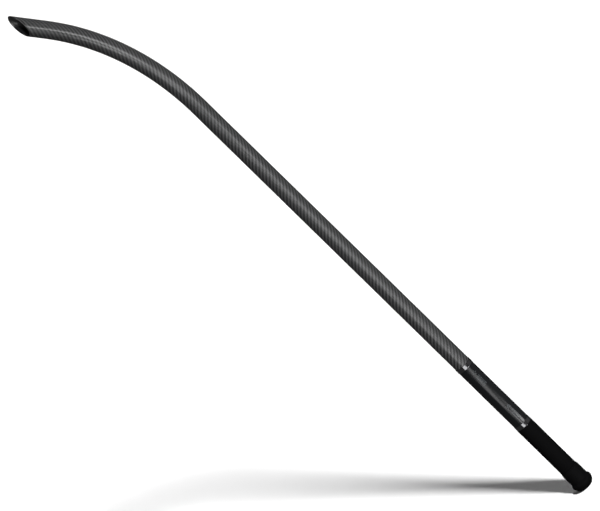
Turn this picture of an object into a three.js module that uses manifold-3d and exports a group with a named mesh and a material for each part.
// A hand-held bait throwing stick: one long carbon tube, open at the tip and bent over
// near it, with a slim handle built up round its lower end and a rubber cap on the butt.
//
// Frame: millimetres, +Z up. The origin is the centre of the butt cap's flat end face.
// +Z runs up the straight tube to the tip, and the tip bends over towards -X.
import * as THREE from 'three';
import { mergeVertices } from 'three/addons/utils/BufferGeometryUtils.js';
import Module from 'manifold-3d';

const wasm = await Module();
wasm.setup();

// ---- driving dimensions -------------------------------------------------------------

const SIDES = 48;                       // facets round every round piece

// carbon tube
const TUBE_R = 11;                      // outside radius of the bare tube
const BORE_R = 10;                      // the bore that the bait runs in
const SEAT_R = 10.7;                    // the tube is ground down to this under the handle
const TUBE_FOOT = 13.2;                 // lower end of the tube, inside the butt cap
const STRAIGHT_TOP = 681;               // the straight stretch ends and the bend starts
const BEND_R = 350;                     // radius of the bend, on the centreline
const BEND_ANGLE = THREE.MathUtils.degToRad( 37.5 );
const BEND_STEPS = 20;
const NOSE = 38;                        // straight stretch from the bend to the mouth's centre
const MOUTH_ANGLE = BEND_ANGLE;         // between the mouth's cut and the tube: it faces -X

// handle, from the butt upwards
const FIT_GAP = 0.05;                   // glue line between the tube and what is on it
const END_GAP = 0.1;                    // between neighbours along the tube
const CAP_TOP = 32.8;
const GRIP_TOP = 111.5;
const REAR_RING_TOP = 117.4;
const LABEL_TOP = 215;
const SEAT_TOP = 221;
const GRIP_R = 11.65;
const LABEL_R = 11.15;
const RING_R = 11.4;
const REAR_RING_R = 11.5;
const RING_EDGE_DROP = 0.3;             // how far a ring's edges lie below its beads
const RING_GROOVE = 0.15;               // depth of the groove between a ring's two beads

// rubber butt cap
const CAP_FACE_R = 6.5;                 // its flat end face
const KNOB_R = 14.25;                   // its widest, KNOB_Z above the face
const KNOB_Z = 10.2;
const DOME_POWER = 0.58;                // roundness from the face out to the knob's widest
const CAP_WAIST_Z = 13.6;
const CAP_R = 12.55;                    // its sleeve
const CAP_CHAMFER = 3;                  // length of the sleeve's tapered lip
const CAP_FLOOR = 11;                   // inside, from the face to the bottom of its socket
const CAP_SOCKET_R = SEAT_R + FIT_GAP;

// hard plug bonded into the cap, which closes the bore's lower end
const PLUG_FLANGE_R = 10.5;
const PLUG_FLANGE = 1.7;                // thickness
const PLUG_LENGTH = 16;
const PLUG_CHAMFER = 1;
const PLUG_FOOT = CAP_FLOOR + 0.3;      // room for the glue

// ---- materials ----------------------------------------------------------------------

function finish( color, roughness, metalness = 0 ) {

	return new THREE.MeshStandardMaterial( { color, roughness, metalness } );

}

const carbon = finish( 0x3c3c3e, 0.3 );
const blackChrome = finish( 0x1c1d1f, 0.15, 1 );
const glossBlack = finish( 0x0c0d0f, 0.2 );
const gripRubber = finish( 0x131314, 0.85 );
const capRubber = finish( 0x101011, 0.75 );
const plugPlastic = finish( 0x202022, 0.5 );

// ---- the tube's centreline ----------------------------------------------------------

const BEND_TOP = STRAIGHT_TOP + BEND_R * BEND_ANGLE;      // measured along the line
const bendEnd = new THREE.Vector3(
	- BEND_R * ( 1 - Math.cos( BEND_ANGLE ) ),
	0,
	STRAIGHT_TOP + BEND_R * Math.sin( BEND_ANGLE )
);

function headingAt( along ) {

	const turned = THREE.MathUtils.clamp( ( along - STRAIGHT_TOP ) / BEND_R, 0, BEND_ANGLE );
	return new THREE.Vector3( - Math.sin( turned ), 0, Math.cos( turned ) );

}

function pointAt( along ) {

	if ( along <= STRAIGHT_TOP ) return new THREE.Vector3( 0, 0, along );
	if ( along >= BEND_TOP ) return bendEnd.clone().addScaledVector( headingAt( along ), along - BEND_TOP );
	const turned = ( along - STRAIGHT_TOP ) / BEND_R;
	return new THREE.Vector3(
		- BEND_R * ( 1 - Math.cos( turned ) ),
		0,
		STRAIGHT_TOP + BEND_R * Math.sin( turned )
	);

}

// The line is stepped at its stations: one step for each straight stretch, and equal
// steps round the bend.
class Centreline extends THREE.Curve {

	constructor( foot, tip ) {

		super();
		this.stations = [ foot ];
		for ( let i = 0; i <= BEND_STEPS; i ++ ) {

			this.stations.push( THREE.MathUtils.lerp( STRAIGHT_TOP, BEND_TOP, i / BEND_STEPS ) );

		}

		this.stations.push( tip );
		this.steps = this.stations.length - 1;

	}

	stationAt( t ) {

		return this.stations[ Math.round( t * this.steps ) ];

	}

	getUtoTmapping( u ) {

		return u;

	}

	getPoint( t ) {

		return pointAt( this.stationAt( t ) );

	}

	getTangent( t ) {

		return headingAt( this.stationAt( t ) );

	}

}

// ---- shape helpers ------------------------------------------------------------------

function circle( radius, path = new THREE.Path() ) {

	for ( let i = 0; i < SIDES; i ++ ) {

		const angle = 2 * Math.PI * i / SIDES;
		const x = radius * Math.cos( angle );
		const y = radius * Math.sin( angle );
		if ( i === 0 ) path.moveTo( x, y );
		else path.lineTo( x, y );

	}

	path.closePath();
	return path;

}

// A turned piece about Z. The profile is a list of [ radius, height ] pairs, anticlockwise
// with the radius to the right and the height up, from axis to axis or closed on itself.
function turned( profile ) {

	const points = profile.map( ( [ radius, height ] ) => new THREE.Vector2( radius, height ) );
	const geometry = new THREE.LatheGeometry( points, SIDES );
	geometry.rotateX( Math.PI / 2 );
	return geometry;

}

// A turned sleeve: the outer profile from bottom to top, and one inner radius.
function sleeve( innerR, outer ) {

	const [ , bottom ] = outer[ 0 ];
	const [ , top ] = outer[ outer.length - 1 ];
	return turned( [ [ innerR, bottom ], ...outer, [ innerR, top ], [ innerR, bottom ] ] );

}

// Points of a curve given by a function of 0..1.
function sampled( count, curve ) {

	return Array.from( { length: count + 1 }, ( _, i ) => curve( i / count ) );

}

function solid( geometry ) {

	const plain = geometry.clone();
	plain.deleteAttribute( 'normal' );
	plain.deleteAttribute( 'uv' );
	const merged = mergeVertices( plain, 1e-4 );
	return new wasm.Manifold( new wasm.Mesh( {
		numProp: 3,
		vertProperties: new Float32Array( merged.attributes.position.array ),
		triVerts: new Uint32Array( merged.index.array ),
	} ) );

}

function geometryOf( body ) {

	const { vertProperties, triVerts } = body.getMesh();
	const geometry = new THREE.BufferGeometry();
	geometry.setAttribute( 'position', new THREE.BufferAttribute( vertProperties, 3 ) );
	geometry.setIndex( new THREE.BufferAttribute( triVerts, 1 ) );
	geometry.computeVertexNormals();
	return geometry;

}

function named( name, geometry, material ) {

	const mesh = new THREE.Mesh( geometry, material );
	mesh.name = name;
	return mesh;

}

// ---- the pieces ---------------------------------------------------------------------

// The block that cuts the mouth off at a slant, parallel to the handle: its long lip is on
// the bend's outside.
function mouthCutter() {

	const size = 8 * TUBE_R;
	const mouth = BEND_TOP + NOSE;
	const forward = headingAt( mouth );
	const inward = new THREE.Vector3( - forward.z, 0, forward.x );
	const outOfMouth = new THREE.Vector3()
		.addScaledVector( forward, Math.sin( MOUTH_ANGLE ) )
		.addScaledVector( inward, Math.cos( MOUTH_ANGLE ) );
	const across = new THREE.Vector3( 0, 1, 0 );
	const along = new THREE.Vector3().crossVectors( across, outOfMouth );
	const centre = pointAt( mouth ).addScaledVector( outOfMouth, size / 2 );
	const block = new THREE.BoxGeometry( size, size, size );
	block.applyMatrix4( new THREE.Matrix4().makeBasis( along, across, outOfMouth ) );
	block.translate( centre.x, centre.y, centre.z );
	return solid( block );

}

function throwingTube() {

	const lip = TUBE_R / Math.tan( MOUTH_ANGLE );
	const line = new Centreline( TUBE_FOOT, BEND_TOP + NOSE + 1.3 * lip );
	const section = circle( TUBE_R, new THREE.Shape() );
	section.holes.push( circle( BORE_R ) );
	const blank = new THREE.ExtrudeGeometry( section, {
		steps: line.steps,
		extrudePath: line,
		curveSegments: 1,
	} );
	const seatCutter = sleeve( SEAT_R, [ [ 2 * TUBE_R, 0 ], [ 2 * TUBE_R, SEAT_TOP ] ] );
	const body = solid( blank ).subtract( solid( seatCutter ) ).subtract( mouthCutter() );
	return geometryOf( body );

}

// A polished ring with two beads and a shallow groove between them.
function trimRing( bottom, top, beadR ) {

	const low = bottom + END_GAP / 2;
	const high = top - END_GAP / 2;
	const steps = 12;
	const outer = sampled( steps, ( t ) => {

		const bead = Math.abs( Math.sin( 2 * Math.PI * t ) );
		const edge = Math.abs( 2 * t - 1 );
		const floor = THREE.MathUtils.lerp( beadR - RING_GROOVE, beadR - RING_EDGE_DROP, edge );
		return [ THREE.MathUtils.lerp( floor, beadR, bead ), THREE.MathUtils.lerp( low, high, t ) ];

	} );
	return sleeve( SEAT_R + FIT_GAP, outer );

}

function gripSleeve() {

	const low = CAP_TOP + END_GAP;
	const high = GRIP_TOP - END_GAP / 2;
	const edge = 0.4;
	return sleeve( SEAT_R + FIT_GAP, [
		[ GRIP_R - edge, low ],
		[ GRIP_R, low + edge ],
		[ GRIP_R, high - edge ],
		[ GRIP_R - edge, high ],
	] );

}

function labelSleeve() {

	const low = REAR_RING_TOP + END_GAP / 2;
	const high = LABEL_TOP - END_GAP / 2;
	return sleeve( SEAT_R + FIT_GAP, [ [ LABEL_R, low ], [ LABEL_R, high ] ] );

}

function buttCap() {

	const dome = sampled( 14, ( step ) => {

		const t = step ** 1.6;
		return [ CAP_FACE_R + ( KNOB_R - CAP_FACE_R ) * ( t * ( 2 - t ) ) ** DOME_POWER, KNOB_Z * t ];

	} );
	const shoulder = sampled( 8, ( t ) => [
		CAP_R + ( KNOB_R - CAP_R ) * ( 1 + Math.cos( t * Math.PI ) ) / 2,
		THREE.MathUtils.lerp( KNOB_Z, CAP_WAIST_Z, t ),
	] );
	return turned( [
		[ 0, 0 ],
		...dome,
		...shoulder.slice( 1 ),
		[ CAP_R, CAP_TOP - CAP_CHAMFER ],
		[ GRIP_R, CAP_TOP ],
		[ CAP_SOCKET_R, CAP_TOP ],
		[ CAP_SOCKET_R, CAP_FLOOR ],
		[ 0, CAP_FLOOR ],
	] );

}

function buttPlug() {

	const shankR = BORE_R - FIT_GAP;
	const shoulder = PLUG_FOOT + PLUG_FLANGE;
	const top = shoulder + PLUG_LENGTH;
	return turned( [
		[ 0, PLUG_FOOT ],
		[ PLUG_FLANGE_R, PLUG_FOOT ],
		[ PLUG_FLANGE_R, shoulder ],
		[ shankR, shoulder ],
		[ shankR, top - PLUG_CHAMFER ],
		[ shankR - PLUG_CHAMFER, top ],
		[ 0, top ],
	] );

}

// ---- assembly -----------------------------------------------------------------------

const group = new THREE.Group();
group.add(
	named( 'throwing_tube', throwingTube(), carbon ),
	named( 'front_trim_ring', trimRing( LABEL_TOP, SEAT_TOP, RING_R ), blackChrome ),
	named( 'label_sleeve', labelSleeve(), glossBlack ),
	named( 'rear_trim_ring', trimRing( GRIP_TOP, REAR_RING_TOP, REAR_RING_R ), blackChrome ),
	named( 'grip_sleeve', gripSleeve(), gripRubber ),
	named( 'butt_cap', buttCap(), capRubber ),
	named( 'butt_plug', buttPlug(), plugPlastic ),
);

export default group;
